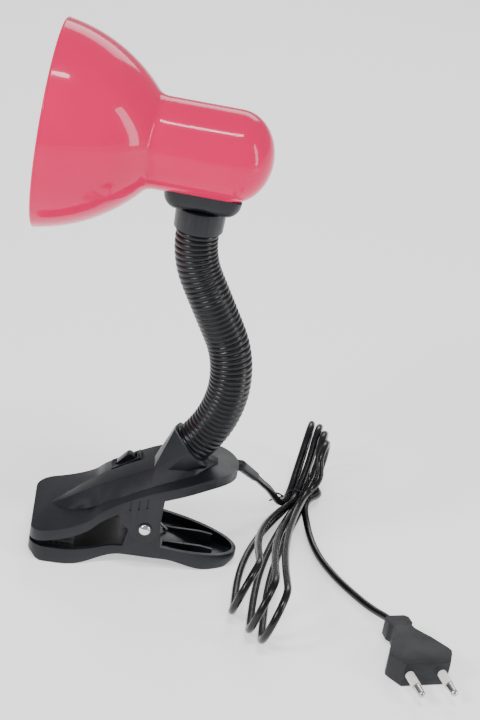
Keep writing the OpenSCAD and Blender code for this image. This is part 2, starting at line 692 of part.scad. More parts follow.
// Profile of the shade as [x, radius], drawn in by the wall
function bell_z(x) =
    let (chord = norm([bell_l, rim_r - tube_r]), half = asin(chord / 2 / bell_arc_r),
         lean = atan2(rim_r - tube_r, bell_l), a0 = 90 - (lean - half),
         cx = -bell_arc_r * cos(a0), cr = rim_r - bell_arc_r * sin(a0))
    cr + sqrt(bell_arc_r * bell_arc_r - (x - cx) * (x - cx));
function shade_line(t) = concat([for (x = span(0, bell_l - 2.2, 14)) [x, bell_z(x) - t]],
    [[bell_l - 0.6, tube_r + 0.9 - t], [bell_l + 1.4, tube_r - t]],
    [for (a = span(90, 0, 10)) [bell_l + tube_l + (dome_l - t) * cos(a), (tube_r - t) * sin(a)]]);
stud_r = 4.5;
module shade() {
    outer = shade_line(0);
    inner = shade_line(shade_wall);
    color("#e0405f") at_head() difference() {
        turned(concat(outer, [for (i = [len(inner) - 1 : -1 : 0]) inner[i]]));
        translate([neck_from_rim, 0, -tube_r - 5]) cylinder(r = stud_r + 0.1, h = 10);
    }
}
// Saddle with the collar that grips the sheath and the hollow stud into the shade
collar_l = 11;
module head_saddle() {
    saddle_h = 13.8;
    end_r = 5;
    keel_r = 8;
    drop = head_lift - collar_l;
    stud_top = strap_z + strap_t + nut_t + 0.6;
    color("#1a1b1e") at_head() translate([neck_from_rim, 0, 0]) difference() {
        union() {
            difference() {
                hull() for (sx = [-1, 1]) for (sy = [-1, 1]) {
                    translate([sx * (saddle_l / 2 - end_r), sy * (saddle_w / 2 - end_r),
                        -drop + saddle_h - 2])
                        cylinder(r = end_r, h = 2, $fn = 24);
                    translate([sx * (saddle_l / 2 - keel_r - 0.5), sy * (saddle_w / 2 - keel_r - 0.5),
                        keel_r - drop])
                        sphere(r = keel_r, $fn = 32);
                }
                rotate([0, 90, 0]) cylinder(r = tube_r, h = far, center = true, $fn = 96);
            }
            translate([0, 0, -head_lift]) cylinder(r1 = collar_r - 0.5, r2 = collar_r, h = collar_l + 1);
            translate([0, 0, -tube_r - 2]) cylinder(r = stud_r, h = stud_top + tube_r + 2);
        }
        translate([0, 0, -head_lift - 1]) cylinder(r = neck_r + fit, h = neck_grip + 1);
        translate([0, 0, -far]) cylinder(r = core_bore_r, h = far + stud_top + 1);
    }
}
// Strap inside the shade that carries the lampholder
strap_t = 1.2;
strap_w = 14;
nut_t = 2.4;
strap_z = -sqrt(pow(tube_r - shade_wall, 2) - strap_w * strap_w / 4) + 0.02;
holder_lead = 25.5;        // from the holder's skirt back to the saddle
holder_front = neck_from_rim - holder_lead;
holder_back = holder_front + 37;
holder_body_r = 12;
module saddle_nut() {
    color("#a9acb1") at_head() translate([neck_from_rim, 0, strap_z + strap_t]) difference() {
        cylinder(r = 8, h = nut_t, $fn = 6);
        translate([0, 0, -1]) cylinder(r = stud_r, h = nut_t + 2);
    }
}
module holder_bracket() {
    strap_end = holder_back + strap_t;
    color("#9a9da2") at_head() difference() {
        union() {
            translate([neck_from_rim - 9, -strap_w / 2, strap_z])
                cube([strap_end - neck_from_rim + 9, strap_w, strap_t]);
            translate([holder_back, -strap_w / 2, strap_z]) cube([strap_t, strap_w, -strap_z + 7]);
        }
        translate([neck_from_rim, 0, -far / 2]) cylinder(r = stud_r, h = far / 2);
        translate([holder_back - 1, 0, 0]) rotate([0, 90, 0]) cylinder(r = 2, h = 5);
    }
}
module holder_screw() {
    color("#a9acb1") at_head() rotate([0, 90, 0]) {
        translate([0, 0, holder_back - 5]) cylinder(r = 2 - fit, h = 5 + strap_t + eps);
        translate([0, 0, holder_back + strap_t]) cylinder(r = 3.8, h = 1.8);
    }
}
// Screw lampholder: a skirt over the threaded shell, a narrower back, and its contact
shell_r = 13.6;
shell_t = 0.5;
shell_front = holder_front + 2;
shell_back = shell_front + 22;
module lampholder() {
    color("#e8e5dc") at_head() rotate([0, 90, 0]) difference() {
        union() {
            translate([0, 0, holder_front]) cylinder(r = holder_r, h = 19);
            translate([0, 0, holder_front + 19 - eps]) cylinder(r1 = 15.5, r2 = holder_body_r + 1, h = 6);
            translate([0, 0, holder_front]) cylinder(r = holder_body_r, h = holder_back - holder_front);
        }
        translate([0, 0, holder_front - 1]) cylinder(r = shell_r + shell_t, h = 1 + 19);
        translate([0, 0, holder_front - 1]) cylinder(r = 11, h = shell_back - holder_front + 1);
        translate([0, 0, holder_back - 5]) cylinder(r = 2, h = 6);
    }
}
module lampholder_shell() {
    color("#c8a24a") at_head() rotate([0, 90, 0]) difference() {
        translate([0, 0, shell_front]) cylinder(r = shell_r + shell_t, h = 17);
        translate([0, 0, shell_front - 1]) cylinder(r = shell_r, h = 20);
    }
}
module lampholder_contact() {
    color("#c8a24a") at_head() translate([shell_back - 1.6, -2.5, -5]) cube([1.6, 5, 10]);
}
module head_wires() {
    color("#7a4a2c") at_head() for (side = [-1, 1])
        tube(smooth([[neck_from_rim, side * 1.1, strap_z - 4], [neck_from_rim, side * 1.1, strap_z + 6.5],
            [neck_from_rim + 4, side * 3, -15], [holder_back + 3, side * 10, -9],
            [holder_back + 4, side * 10, 0], [holder_back + 0.4, side * 9, 6]], 4), wire_r, 8, [0, 1, 0]);
}
// Bulb: globe, screw cap and foot contact
cap_r = 13.1;
cap_front = shell_front - 1;
cap_back = shell_back - 4.4;
globe_x = cap_front - 20.5;
function globe(t) = concat(
    [for (a = span(180, 48, 14)) [globe_x + (bulb_r - t) * cos(a), (bulb_r - t) * sin(a)]],
    [[cap_front - 2, 14.2 - t], [cap_front - 0.1, cap_r - 0.5 - t], [cap_front + 5, cap_r - 0.5 - t]]);
module bulb_glass() {
    wall_t = 0.8;
    outer = globe(0);
    inner = globe(wall_t);
    color("#f4f2ea") at_head() turned(concat(outer, [for (i = [len(inner) - 1 : -1 : 0]) inner[i]]));
}
module bulb_cap() {
    color("#c4c6c8") at_head() rotate([0, 90, 0]) difference() {
        union() {
            translate([0, 0, cap_front]) cylinder(r = cap_r, h = cap_back - cap_front - 3);
            translate([0, 0, cap_back - 3 - eps]) cylinder(r1 = cap_r - 3, r2 = 5.5, h = 3);
        }
        translate([0, 0, cap_front - 1]) cylinder(r = cap_r - 0.5, h = cap_back - cap_front - 3.5);
    }
}
module bulb_contact() {
    color("#c8a24a") at_head() rotate([0, 90, 0])
        translate([0, 0, cap_back]) cylinder(r1 = 4.5, r2 = 3.5, h = shell_back - 1.6 - cap_back);
}

// ---- lead: down from the jaw to the hank, and from the hank to the plug ----
lead_z = lead_d / 2;
lead_start = [pivot_x, 0, 0] + relief_elbow + (relief_l - 4) * relief_dir;
lead_route = [lead_start, lead_start + 5 * relief_dir, [110, 27, 36], [117, 38, 26], [123, 48, 17],
    [128, 56, 9.5], [132.5, 63, 5.5]];
tail_route = [[141, 60, 4.4], [142, 50, 3], [144, 34, 2.1], [147, 18, 2.1], [152, 3, 2.1], [160, -13, 2.1],
    [170, -28, 2.1], [178, -39, 2.7], [184, -48, 5], [187.5, -56.5, 7]];
module cord_lead() { color("#121316") tube(smooth(lead_route, 5), lead_d / 2, 8); }
module cord_tail() { color("#121316") tube(smooth(tail_route, 5), lead_d / 2, 8); }
// Solid that the tied loops fill: their plan, and their height along the hank
module cord_hank() {
    left = [[144, 128.5], [139, 112], [134.5, 88], [130, 68], [124.5, 50], [115.5, 30], [109.5, 2], [104, -30],
        [95.6, -62], [98, -73]];
    right = [[106, -90], [112, -96], [117, -95.5], [123.5, -86], [126, -60], [127, -25], [132, 15],
        [139.5, 50], [144.5, 66], [152.5, 82], [155.4, 100], [153.5, 114], [150, 128.5]];
    height = [[-97, 20], [-88, 31], [-76, 34], [-50, 33], [-15, 26], [30, 17.5], [58, 13.6], [73, 13.6],
        [84, 31], [92, 34], [118, 33], [126, 27], [130, 18]];
    color("#121316") intersection() {
        linear_extrude(far) polygon(concat(smooth(left, 4), smooth(right, 4)));
        rotate([90, 0, 90]) linear_extrude(far) difference() {
            polygon(concat([[-97, 0]], height, [[130, 0]]));
            // the open middles of the near and the far loops
            polygon([[-88, 12], [-84, 22], [-74, 27.5], [-50, 26.5], [-15, 19], [22, 11], [10, 6.5], [-82, 6.5]]);
            polygon([[84, 6.5], [87, 21], [94, 27.5], [115, 27], [120, 22], [122, 12], [118, 6.5]]);
        }
    }
}
module cord_tie() {
    color("#0f1012") translate([138, 66, 0]) difference() {
        translate([0, 0, 7.6]) cube([19.4, 3, 15.2], center = true);
        translate([0, 0, 6.8]) cube([17, 5, 14], center = true);
    }
}

// ---- two-pin plug, lying on its broad side ----
plug_at = [187, -55.5, plug_t / 2];
plug_a = -73;
module at_plug() { translate(plug_at) rotate([0, 0, plug_a]) children(); }
module plug_body() {
    knob_w = 14;
    outline = [[0, knob_w / 2 - 2], [2, knob_w / 2], [8, knob_w / 2], [10, knob_w / 2 - 1.5],
        [14, knob_w / 2 - 1], [20, knob_w / 2 + 2], [34, plug_w / 2 - 1], [37, plug_w / 2],
        [40, plug_w / 2 - 1],
        [plug_l, plug_w / 2 - 5]];
    back = [for (i = [len(outline) - 1 : -1 : 0]) [outline[i][0], -outline[i][1]]];
    color("#16171a") at_plug() difference() {
        intersection() {
            translate([0, 0, -plug_t / 2]) linear_extrude(plug_t) polygon(concat(outline, back));
            across(far) polygon([[0, -5], [10, -5.5], [24, -plug_t / 2], [plug_l, -plug_t / 2],
                [plug_l, plug_t / 2], [24, plug_t / 2], [10, 5.5], [0, 5]]);
        }
        for (side = [-1, 1]) translate([plug_l - 8, side * plug_pitch / 2, 0]) rotate([0, 90, 0])
            cylinder(r = plug_pin_r, h = 9);
    }
}
sleeve_l = 10;
module plug_pin_sleeves() {
    color("#d9dadc") at_plug() for (side = [-1, 1]) translate([plug_l, side * plug_pitch / 2, 0])
        rotate([0, 90, 0]) difference() {
            cylinder(r = plug_pin_r + 0.5, h = sleeve_l);
            translate([0, 0, -1]) cylinder(r = plug_pin_r, h = sleeve_l + 2);
        }
}
module plug_pins() {
    color("#b9a98a") at_plug() for (side = [-1, 1]) translate([plug_l - 8, side * plug_pitch / 2, 0])
        rotate([0, 90, 0]) {
            cylinder(r = plug_pin_r, h = plug_pin_l + 8 - plug_pin_r);
            translate([0, 0, plug_pin_l + 8 - plug_pin_r]) sphere(r = plug_pin_r);
        }
}

upper_jaw();
lower_jaw();
upper_grip_pad();
lower_grip_pad();
pivot_pin();
pin_washers();
clip_spring();
spring_lower_leg();
neck_housing();
housing_screws();
switch_bezel();
switch_rocker();
switch_body();
switch_terminals();
clip_wires();
cord_relief();
neck_sheath_base();
neck_sheath_low();
neck_sheath_high();
neck_sheath_top();
neck_core_base();
neck_core_low();
neck_core_high();
neck_core_top();
head_saddle();
shade();
saddle_nut();
holder_bracket();
holder_screw();
lampholder();
lampholder_shell();
lampholder_contact();
head_wires();
bulb_glass();
bulb_cap();
bulb_contact();
cord_lead();
cord_hank();
cord_tail();
cord_tie();
plug_body();
plug_pin_sleeves();
plug_pins();
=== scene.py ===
"""Clip-on reading lamp: enamelled shade, ribbed neck, sprung clip and its tied mains cord."""
import json
import math

import bmesh
import bpy
from bpy.props import FloatProperty, FloatVectorProperty, IntProperty, PointerProperty
from mathutils import Matrix, Vector


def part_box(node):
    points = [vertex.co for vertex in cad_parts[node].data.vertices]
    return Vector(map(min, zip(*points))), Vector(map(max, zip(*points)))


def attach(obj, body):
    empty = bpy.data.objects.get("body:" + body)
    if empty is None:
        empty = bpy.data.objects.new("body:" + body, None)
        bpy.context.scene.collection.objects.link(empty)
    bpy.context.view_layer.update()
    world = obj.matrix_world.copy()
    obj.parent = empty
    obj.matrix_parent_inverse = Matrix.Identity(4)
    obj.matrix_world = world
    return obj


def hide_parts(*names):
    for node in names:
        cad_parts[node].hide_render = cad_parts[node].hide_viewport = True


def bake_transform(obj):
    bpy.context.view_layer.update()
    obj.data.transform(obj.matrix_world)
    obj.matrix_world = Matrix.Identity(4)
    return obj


bl_info = {
    "name": "Clip-on reading lamp",
    "version": (1, 0, 0),
    "blender": (4, 5, 0),
    "location": "View3D > Sidebar > Lamp",
    "description": "Builds a clip-on reading lamp over its packed construction model",
    "category": "Object",
}

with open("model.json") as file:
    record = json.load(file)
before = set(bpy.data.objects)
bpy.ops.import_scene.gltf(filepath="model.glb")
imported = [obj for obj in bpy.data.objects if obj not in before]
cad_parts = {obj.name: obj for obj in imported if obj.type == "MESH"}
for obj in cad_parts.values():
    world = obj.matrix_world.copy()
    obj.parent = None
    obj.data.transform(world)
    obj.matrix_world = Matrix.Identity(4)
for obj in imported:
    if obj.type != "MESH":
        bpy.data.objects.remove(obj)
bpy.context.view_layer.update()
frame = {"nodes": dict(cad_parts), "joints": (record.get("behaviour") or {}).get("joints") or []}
NODES = frame["nodes"]
JOINTS = {j["name"]: Vector(j["pos_m"]) for j in frame["joints"] if "pos_m" in j}
MM = 0.001


# ---- sizes and colours that a user may change ----
def length(name, default_mm, note, **more):
    """A length property in metres, given in millimetres."""
    return FloatProperty(name=name, description=note, default=default_mm * MM, unit="LENGTH",
                         precision=4, min=0.0, **more)


def colour(name, rgb, note):
    """A colour property without alpha."""
    return FloatVectorProperty(name=name, description=note, default=rgb, subtype="COLOR",
                               size=3, min=0.0, max=1.0)


class ShadeSettings(bpy.types.PropertyGroup):
    """Spun metal shade."""
    bead: length("Rim bead", 1.1, "Radius of the bead rolled round the mouth")
    wall: length("Wall", 1.0, "Thickness of the sheet")
    around: IntProperty(name="Steps around", description="Facets round the shade",
                        default=144, min=24)
    outside: colour("Outside", (0.78, 0.004, 0.098), "Enamel outside")
    inside: colour("Inside", (0.86, 0.85, 0.83), "Enamel inside")


class NeckSettings(bpy.types.PropertyGroup):
    """Ribbed sheath of the bendable neck."""
    radius: length("Radius", 11.6, "Radius over the ribs")
    groove: length("Groove", 0.75, "Depth of the grooves between the ribs")
    pitch: length("Rib pitch", 2.9, "Distance from rib to rib")
    steps: IntProperty(name="Steps", description="Sections for each rib", default=8, min=4)
    plastic: colour("Plastic", (0.0045, 0.0048, 0.0065), "Colour of the sheath")


class ClipSettings(bpy.types.PropertyGroup):
    """Moulded clip, housing, switch and saddle."""
    edge: length("Edge", 1.1, "Radius on the moulded edges")
    fine_edge: length("Fine edge", 0.3, "Radius on the switch and small parts")
    plastic: colour("Plastic", (0.0075, 0.0085, 0.0115), "Colour of the mouldings")
    rubber: colour("Rubber", (0.022, 0.022, 0.023), "Colour of the grip pads")


class CordSettings(bpy.types.PropertyGroup):
    """Mains cord, tie and plug."""
    diameter: length("Diameter", 4.2, "Thickness of the cord")
    vinyl: colour("Vinyl", (0.004, 0.0043, 0.0055), "Colour of the cord")
    plug: colour("Plug", (0.0085, 0.0095, 0.0115), "Colour of the plug")
    sleeve: colour("Sleeves", (0.80, 0.80, 0.78), "Colour of the pins' sleeves")


class StageSettings(bpy.types.PropertyGroup):
    """Floor, lights and camera."""
    floor: colour("Floor", (0.90, 0.90, 0.90), "Colour of the floor")
    floor_glow: FloatProperty(name="Floor glow", description="Light that the floor gives off",
                              default=0.75, min=0.0)
    light: FloatProperty(name="Light", description="Strength of the soft lights",
                         default=1.0, min=0.0)
    lens: FloatProperty(name="Lens", description="Focal length of the camera", default=110.0,
                        min=10.0, subtype="DISTANCE_CAMERA")


# ---- materials ----
class Finish:
    """A node material that starts with a Principled shader on Object coordinates."""

    def __init__(self, name, rgb, roughness, **sockets):
        self.mat = bpy.data.materials.new(name)
        self.mat.use_nodes = True
        self.mat.diffuse_color = (*rgb, 1.0)
        self.tree = self.mat.node_tree
        self.shader = self.tree.nodes["Principled BSDF"]
        self.rgb = rgb
        self.set("Base Color", (*rgb, 1.0))
        self.set("Roughness", roughness)
        for socket, value in sockets.items():
            self.set(socket.replace("_", " "), value)
        self.where = self.tree.nodes.new("ShaderNodeTexCoord").outputs["Object"]
        self.bumps = None

    def set(self, socket, value):
        """Sets a constant on the shader's own socket."""
        self.shader.inputs[socket].default_value = value

    def stretched(self, scale):
        """Object coordinates scaled along each axis."""
        node = self.tree.nodes.new("ShaderNodeMapping")
        node.inputs["Scale"].default_value = scale
        self.tree.links.new(self.where, node.inputs["Vector"])
        return node.outputs["Vector"]

    def noise(self, scale, detail=4.0, rough=0.55, stretch=None):
        """Noise of so many lumps to the metre."""
        node = self.tree.nodes.new("ShaderNodeTexNoise")
        node.inputs["Scale"].default_value = scale
        node.inputs["Detail"].default_value = detail
        node.inputs["Roughness"].default_value = rough
        where = self.stretched(stretch) if stretch else self.where
        self.tree.links.new(where, node.inputs["Vector"])
        return node.outputs["Fac"]

    def ramp(self, fac, low, high, a=0.3, b=0.7):
        """Maps fac from a..b to low..high."""
        node = self.tree.nodes.new("ShaderNodeMapRange")
        for key, value in (("From Min", a), ("From Max", b), ("To Min", low), ("To Max", high)):
            node.inputs[key].default_value = value
        self.tree.links.new(fac, node.inputs["Value"])
        return node.outputs["Result"]

    def tint(self, fac, other, a=0.35, b=0.65):
        """Mixes the base colour towards another where fac is high."""
        node = self.tree.nodes.new("ShaderNodeMix")
        node.data_type = "RGBA"
        node.inputs["A"].default_value = (*self.rgb, 1.0)
        node.inputs["B"].default_value = (*other, 1.0)
        self.tree.links.new(self.ramp(fac, 0.0, 1.0, a, b), node.inputs["Factor"])
        self.tree.links.new(node.outputs["Result"], self.shader.inputs["Base Color"])
        return self

    def rough(self, fac, low, high):
        """Varies the roughness from low to high with fac."""
        self.tree.links.new(self.ramp(fac, low, high), self.shader.inputs["Roughness"])
        return self

    def bump(self, fac, strength, distance):
        """Adds a bump of the given height in metres to those already there."""
        node = self.tree.nodes.new("ShaderNodeBump")
        node.inputs["Strength"].default_value = strength
        node.inputs["Distance"].default_value = distance
        self.tree.links.new(fac, node.inputs["Height"])
        if self.bumps:
            self.tree.links.new(self.bumps, node.inputs["Normal"])
        self.bumps = node.outputs["Normal"]
        self.tree.links.new(self.bumps, self.shader.inputs["Normal"])
        return self


def brighter(rgb, k):
    """The colour times k, kept below white."""
    return tuple(min(1.0, c * k) for c in rgb)


def moulded(name, rgb, roughness, grain=2600.0, depth=0.00006):
    """Satin moulded plastic: fine grain, slow changes of gloss and a faint bloom."""
    f = Finish(name, rgb, roughness, Specular_IOR_Level=0.32)
    f.tint(f.noise(38.0, 5.0), brighter(rgb, 1.55), 0.40, 0.72)
    f.rough(f.noise(60.0, 4.0), roughness - 0.05, roughness + 0.08)
    f.bump(f.noise(grain, 2.0), 0.35, depth)
    f.bump(f.noise(140.0, 2.0), 0.12, 0.0002)
    return f.mat


def enamel(name, rgb, roughness=0.16):
    """Stove enamel: deep colour under a clear gloss, with the faint waviness of a sprayed coat."""
    f = Finish(name, rgb, roughness, Specular_IOR_Level=0.06, Coat_Weight=0.36,
               Coat_Roughness=0.035)
    f.tint(f.noise(22.0, 3.0), brighter(rgb, 0.93), 0.35, 0.75)
    f.rough(f.noise(900.0, 2.0), roughness - 0.03, roughness + 0.05)
    f.bump(f.noise(210.0, 2.0, 0.4), 0.10, 0.00025)
    f.bump(f.noise(1500.0, 2.0), 0.05, 0.00003)
    return f.mat


def metal(name, rgb, roughness, stretch=(1.0, 1.0, 1.0)):
    """Bare or plated metal with fine drawn or turned marks."""
    marks = 900.0
    f = Finish(name, rgb, roughness, Metallic=1.0)
    f.tint(f.noise(120.0, 4.0), brighter(rgb, 0.82), 0.35, 0.8)
    f.rough(f.noise(marks, 3.0, stretch=stretch), roughness * 0.7, roughness * 1.35)
    f.bump(f.noise(marks, 3.0, stretch=stretch), 0.25, 0.00003)
    return f.mat


def finishes():
    """Every material of the lamp by its plain name."""
    scene = bpy.context.scene
    clip, neck, cord = scene.lamp_clip, scene.lamp_neck, scene.lamp_cord
    shade, stage = scene.lamp_shade, scene.lamp_stage
    black = tuple(clip.plastic)
    made = {}
    made["clip_plastic"] = moulded("Clip plastic", black, 0.36)
    made["switch_plastic"] = moulded("Switch plastic", brighter(black, 0.7), 0.30, 3400.0)
    made["neck_plastic"] = moulded("Neck plastic", tuple(neck.plastic), 0.30, 3000.0, 0.00003)
    made["plug_plastic"] = moulded("Plug plastic", tuple(cord.plug), 0.50, 2200.0, 0.00010)
    made["sleeve_plastic"] = moulded("Sleeve plastic", tuple(cord.sleeve), 0.42, 2600.0, 0.00003)
    made["wire_plastic"] = moulded("Wire insulation", (0.16, 0.06, 0.025), 0.42, 2600.0, 0.00003)
    made["enamel_outside"] = enamel("Shade enamel", tuple(shade.outside))
    made["enamel_inside"] = enamel("Shade white inside", tuple(shade.inside), 0.34)

    vinyl = Finish("Cord vinyl", tuple(cord.vinyl), 0.22, Specular_IOR_Level=0.36)
    vinyl.tint(vinyl.noise(70.0, 4.0), brighter(tuple(cord.vinyl), 1.7), 0.45, 0.8)
    vinyl.rough(vinyl.noise(160.0, 3.0), 0.17, 0.32)
    vinyl.bump(vinyl.noise(420.0, 3.0), 0.12, 0.0001)
    made["cord_vinyl"] = vinyl.mat

    pad = Finish("Grip rubber", tuple(clip.rubber), 0.78, Specular_IOR_Level=0.35)
    pad.tint(pad.noise(90.0, 6.0), brighter(tuple(clip.rubber), 1.9), 0.45, 0.8)
    pad.bump(pad.noise(1500.0, 3.0), 0.5, 0.00012)
    made["grip_rubber"] = pad.mat

    made["bright_steel"] = metal("Bright steel", (0.80, 0.80, 0.79), 0.12)
    made["black_steel"] = metal("Blackened steel", (0.045, 0.046, 0.050), 0.34)
    made["spring_steel"] = metal("Spring steel", (0.52, 0.53, 0.55), 0.26)
    made["pin_metal"] = metal("Plug pin metal", (0.60, 0.59, 0.56), 0.22, (1.0, 0.2, 1.0))
    made["brass"] = metal("Brass", (0.78, 0.58, 0.26), 0.24)
    made["cap_aluminium"] = metal("Lamp cap aluminium", (0.78, 0.78, 0.78), 0.24)

    ceramic = Finish("Holder ceramic", (0.82, 0.81, 0.77), 0.2, Coat_Weight=0.6,
                     Coat_Roughness=0.08)
    ceramic.tint(ceramic.noise(160.0, 5.0), (0.74, 0.72, 0.66), 0.5, 0.8)
    ceramic.bump(ceramic.noise(300.0, 3.0), 0.15, 0.0001)
    made["ceramic"] = ceramic.mat

    opal = Finish("Opal glass", (0.93, 0.93, 0.91), 0.22, Coat_Weight=0.7, Coat_Roughness=0.04)
    opal.set("Subsurface Weight", 0.35)
    opal.set("Subsurface Radius", (0.004, 0.004, 0.004))
    opal.tint(opal.noise(60.0, 3.0), (0.90, 0.895, 0.87), 0.4, 0.8)
    opal.bump(opal.noise(800.0, 2.0), 0.08, 0.00004)
    made["opal_glass"] = opal.mat

    floor = Finish("Studio floor", tuple(stage.floor), 0.55)
    floor.set("Emission Color", (1.0, 1.0, 1.0, 1.0))
    floor.set("Emission Strength", stage.floor_glow)
    floor.tint(floor.noise(3.0, 2.0), brighter(tuple(stage.floor), 0.985), 0.3, 0.8)
    made["floor"] = floor.mat
    return made


CACHE = {}


def finish_of(name):
    """One of the lamp's materials, all made on first use."""
    if not CACHE:
        CACHE.update(finishes())
    return CACHE[name]


# ---- shared ways to make a piece ----
def put(mesh, name, *materials):
    """A new object for a finished mesh, at the origin."""
    obj = bpy.data.objects.new(name, mesh)
    bpy.context.scene.collection.objects.link(obj)
    for m in materials:
        mesh.materials.append(finish_of(m))
    return obj


def smooth(mesh, angle):
    """Smooth faces, with edges sharper than the angle kept."""
    mesh.polygons.foreach_set("use_smooth", [True] * len(mesh.polygons))
    mesh.set_sharp_from_angle(angle=math.radians(angle))


def evaluated(obj, name, *materials):
    """The object with its modifiers, as a plain mesh in a new object; the old one goes."""
    bpy.context.view_layer.update()
    graph = bpy.context.evaluated_depsgraph_get()
    mesh = bpy.data.meshes.new_from_object(obj.evaluated_get(graph))
    mesh.name = name
    data, kind = obj.data, obj.type
    bpy.data.objects.remove(obj)
    (bpy.data.curves if kind == "CURVE" else bpy.data.meshes).remove(data)
    mesh.materials.clear()
    return put(mesh, name, *materials)


MERGE = 2e-6                    # points closer than this are one point
FLAT = math.radians(1.0)        # faces within this angle are one flat face
EDGE = math.radians(32.0)       # edges sharper than this are rounded


def softened(node, name, material, width, segments=3):
    """A copy of a construction node with merged points, clean faces and rounded edges."""
    mesh = NODES[node].data.copy()
    bm = bmesh.new()
    bm.from_mesh(mesh)
    bmesh.ops.remove_doubles(bm, verts=bm.verts, dist=MERGE)
    bmesh.ops.dissolve_limit(bm, angle_limit=FLAT, verts=bm.verts, edges=bm.edges)
    bm.to_mesh(mesh)
    bm.free()
    mesh.materials.clear()
    obj = bpy.data.objects.new(name + "_base", mesh)
    bpy.context.scene.collection.objects.link(obj)
    bevel = obj.modifiers.new("Edges", "BEVEL")
    bevel.width = width
    bevel.segments = segments
    bevel.limit_method = "ANGLE"
    bevel.angle_limit = EDGE
    bevel.use_clamp_overlap = True
    bevel.harden_normals = False
    bevel.miter_outer = "MITER_ARC"
    piece = evaluated(obj, name, material)
    smooth(piece.data, 40.0)
    return piece


def lathe(profile, place, around, name, materials, split=None):
    """A closed turned shape: profile is a ring of (x, radius) points, turned about x.

    From the point numbered split on, the faces take the second material.
    """
    bm = bmesh.new()
    rings = []
    for x, r in profile:
        if r < 1e-7:
            rings.append([bm.verts.new(place @ Vector((x, 0, 0)))])
            continue
        rings.append([bm.verts.new(place @ Vector((x, r * math.cos(t), r * math.sin(t))))
                      for t in (math.tau * k / around for k in range(around))])
    count = len(rings)
    for i in range(count):
        a, b = rings[i], rings[(i + 1) % count]
        if len(a) == 1 and len(b) == 1:
            continue
        for k in range(around):
            n = (k + 1) % around
            if len(a) == 1:
                face = bm.faces.new((a[0], b[n], b[k]))
            elif len(b) == 1:
                face = bm.faces.new((a[k], a[n], b[0]))
            else:
                face = bm.faces.new((a[k], a[n], b[n], b[k]))
            if split is not None and i >= split:
                face.material_index = 1
    bmesh.ops.recalc_face_normals(bm, faces=bm.faces)
    mesh = bpy.data.meshes.new(name)
    bm.to_mesh(mesh)
    bm.free()
    obj = put(mesh, name, *materials)
    smooth(mesh, 50.0)
    return obj


def curved(points, per=6):
    """A smooth line through points, with per steps for each stretch."""
    pts = [Vector(p) for p in points]
    ends = [2 * pts[0] - pts[1]] + pts + [2 * pts[-1] - pts[-2]]
    line = []
    for i in range(1, len(ends) - 2):
        p0, p1, p2, p3 = ends[i - 1:i + 3]
        for k in range(per):
            t = k / per
            line.append(0.5 * (2 * p1 + (p2 - p0) * t + (2 * p0 - 5 * p1 + 4 * p2 - p3) * t * t
                               + (3 * p1 - p0 - 3 * p2 + p3) * t ** 3))
    line.append(pts[-1])
    return line


def run_length(line):
    """Length of a line of points."""
    return sum((b - a).length for a, b in zip(line, line[1:]))


def even(line, step):
    """The same line with its points a step apart."""
    count = max(2, round(run_length(line) / step))
    step = run_length(line) / count
    out, done, ahead = [line[0].copy()], 0.0, step
    for a, b in zip(line, line[1:]):
        reach = (b - a).length
        while reach > 0 and ahead <= done + reach + 1e-12 and len(out) < count:
            out.append(a.lerp(b, (ahead - done) / reach))
            ahead += step
        done += reach
    return out + [line[-1].copy()]


def eased(line, rounds):
    """The line with its kinks eased out, its two ends kept."""
    for _ in range(rounds):
        between = [(a + 2 * b + c) / 4 for a, b, c in zip(line, line[1:], line[2:])]
        line = [line[0]] + between + [line[-1]]
    return line


def wire(line, name, radius, material, sides=4):
    """A round wire along a line, as a curve of one open spline."""
    curve = bpy.data.curves.new(name, "CURVE")
    curve.dimensions = "3D"
    curve.bevel_depth = radius
    curve.bevel_resolution = sides
    curve.use_fill_caps = True
    spline = curve.splines.new("POLY")
    spline.points.add(len(line) - 1)
    for point, p in zip(spline.points, line):
        point.co = (*p, 1.0)
    spline.use_smooth = True
    obj = bpy.data.objects.new(name, curve)
    bpy.context.scene.collection.objects.link(obj)
    curve.materials.append(finish_of(material))
    return obj


# ---- stage ----
FLOOR_HALF, FLOOR_AT = 9.0, (0.0, 6.0, -0.0004)
WORLD_LIGHT = 0.42
LIT = Vector((0.05, 0.0, 0.15))     # what the soft lights face
# Place, width, height and power of each soft light
SOFTBOXES = {
    "window_light": ((-0.95, -0.75, 0.95), 0.30, 0.36, 13.0),
    "top_light": ((0.10, -0.35, 1.35), 0.50, 0.10, 7.0),
    "side_light": ((1.25, -0.35, 0.55), 0.20, 0.9, 7.0),
    "back_light": ((0.3, 1.3, 0.9), 0.9, 0.5, 6.0),
}
# Camera: turn, pitch and roll in degrees, what it looks at, and its distance from that
VIEW_ANGLES = (5.0, 26.0, 10.5)
VIEW_TARGET, VIEW_DISTANCE = Vector((0.0829, 0.0, 0.1241)), 1.1892


